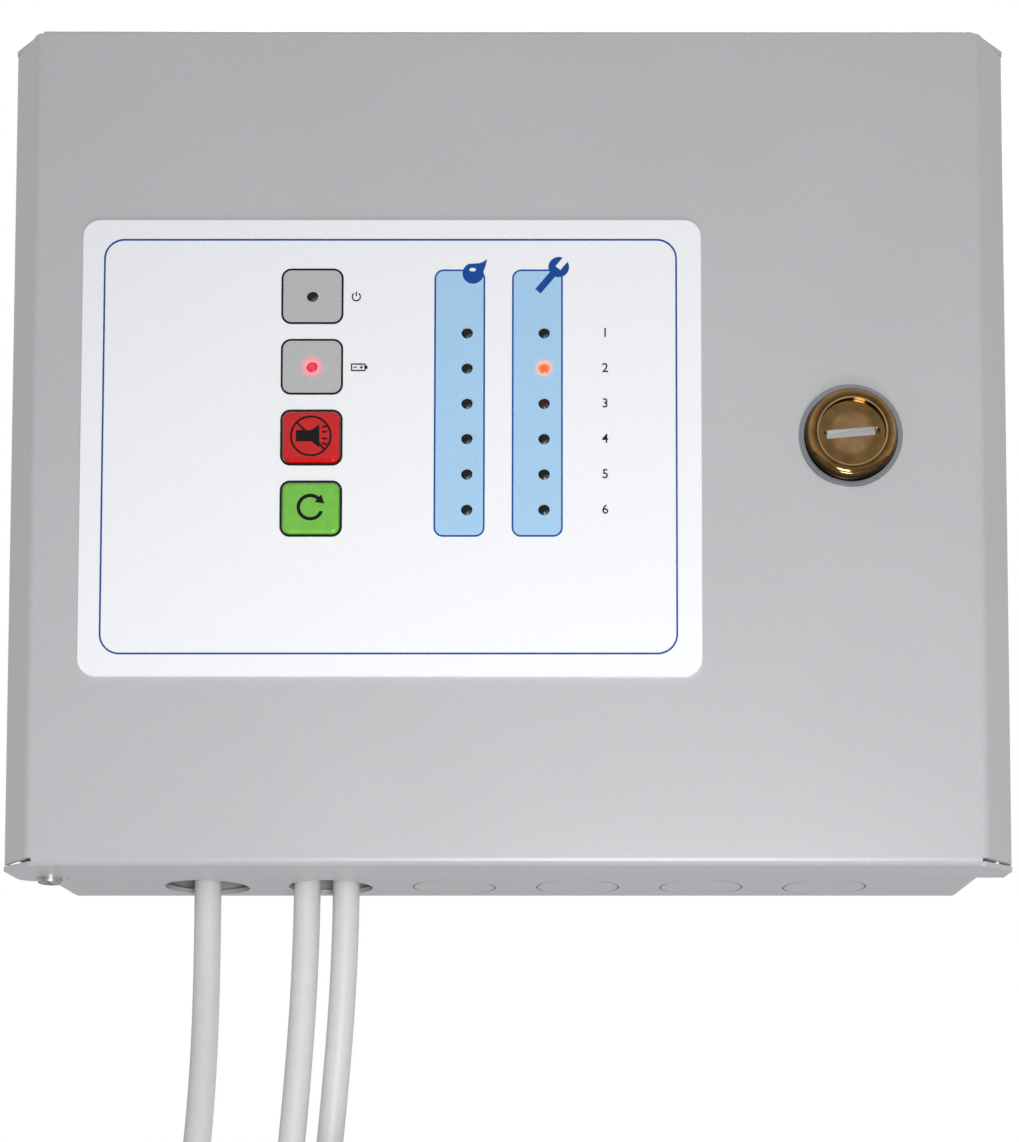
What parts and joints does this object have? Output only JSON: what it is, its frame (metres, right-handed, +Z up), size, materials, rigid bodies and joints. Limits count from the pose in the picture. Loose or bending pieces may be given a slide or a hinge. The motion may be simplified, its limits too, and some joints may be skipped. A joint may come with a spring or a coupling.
{
  "type": "leak detection controller",
  "caption": "Wall-mounted leak detection controller: folded steel case with hinged lid, cam lock, indicator film, push keys, circuit boards, standby battery and three cables.",
  "frame": {"origin": "centre of the four wall fixings, on the plane of the wall", "axes": "+Y into the wall, -Y out of the lid, +Z up, +X to the right as seen from the front"},
  "size_m": [0.25, 0.0654, 0.3899],
  "materials": {
    "case_paint": "light grey textured powder coat",
    "plated_steel": "zinc plated",
    "nylon_white": "natural nylon",
    "film_white": "satin polyester film",
    "ink_blue": "screen print",
    "ink_light_blue": "screen print",
    "ink_black": "screen print",
    "ink_silver": "speckled silver print",
    "key_red": "gloss dome",
    "key_green": "gloss dome",
    "lock_nickel": "polished nickel",
    "board_green": "solder mask",
    "brass_nickel": "nickel plated brass",
    "lamp_dark": "unlit lens",
    "lamp_amber": "amber lens",
    "lamp_red": "lit red lens",
    "black_plastic": "moulded",
    "terminal_green": "moulded",
    "fuse_glass": "clear",
    "ribbon_grey": "flat cable",
    "core_steel": "varnished laminations",
    "winding_tape": "polyester tape",
    "battery_plastic": "moulded ABS",
    "black_anodised": "black anodised aluminium",
    "brass": "bare",
    "cable_sheath": "light grey PVC",
    "core_red": "PVC"
  },
  "bodies": {
    "case": {"back_box": "case_paint", "pivot_screws": "plated_steel", "pivot_washers": "nylon_white", "pivot_nuts": "plated_steel", "lock_keeper": "case_paint", "cable_bracket": "plated_steel", "cable_ties": "nylon_white", "display_board": "board_green", "display_pillars": "brass_nickel", "leak_lamps": "lamp_dark", "fault_lamps": "lamp_amber", "power_lamp": "lamp_dark", "battery_lamp": "lamp_red", "key_switches": "black_plastic", "main_board": "board_green", "board_spacers": "nylon_white", "board_screws": "plated_steel", "terminal_strips": "terminal_green", "terminal_screws": "plated_steel", "relays": "black_plastic", "sounder": "black_plastic", "capacitors": "black_plastic", "heat_sink": "black_anodised", "strap_screws": "plated_steel", "chips": "black_plastic", "fuse_holder": "brass_nickel", "fuse": "fuse_glass", "ribbon_plugs": "black_plastic", "ribbon_cable": "ribbon_grey", "transformer_core": "core_steel", "transformer_bobbin": "nylon_white", "transformer_winding": "winding_tape", "transformer_straps": "plated_steel", "battery": "battery_plastic", "battery_tabs": "brass_nickel", "battery_strap": "plated_steel", "earth_stud": "brass", "earth_nut": "brass", "supply_cable": "cable_sheath", "sensor_cable_1": "cable_sheath", "sensor_cable_2": "cable_sheath", "supply_coil": "cable_sheath", "sensor_coil_1": "cable_sheath", "sensor_coil_2": "cable_sheath", "coil_ties": "nylon_white", "cable_ends": "core_red", "inner_cores": "core_red"},
    "lid": {"lid": "case_paint", "front_film": "film_white", "blue_lines": "ink_blue", "indicator_fields": "ink_light_blue", "key_outlines": "ink_black", "status_fields": "ink_silver", "lock_body": "lock_nickel", "lock_nut": "plated_steel"},
    "lock": {"lock_core": "lock_nickel", "lock_cam": "plated_steel", "cam_screw": "plated_steel"},
    "mute_key": {"mute_key": "key_red"},
    "reset_key": {"reset_key": "key_green"}
  },
  "joints": [
    {"name": "lid_hinge", "type": "hinge", "parent": "case", "child": "lid", "pos_m": [-0.1165, -0.0424, 0], "axis": [0, 0, -1], "range_deg": [0, 105]},
    {"name": "lock_turn", "type": "hinge", "parent": "lid", "child": "lock", "pos_m": [0.08428, -0.062, 0.001], "axis": [0, -1, 0], "range_deg": [-5, 85]},
    {"name": "mute_press", "type": "slide", "parent": "lid", "child": "mute_key", "axis": [0, 1, 0], "range_m": [0, 0.0004], "stiffness_N_per_m": 400},
    {"name": "reset_press", "type": "slide", "parent": "lid", "child": "reset_key", "axis": [0, 1, 0], "range_m": [0, 0.0004], "stiffness_N_per_m": 400}
  ]
}
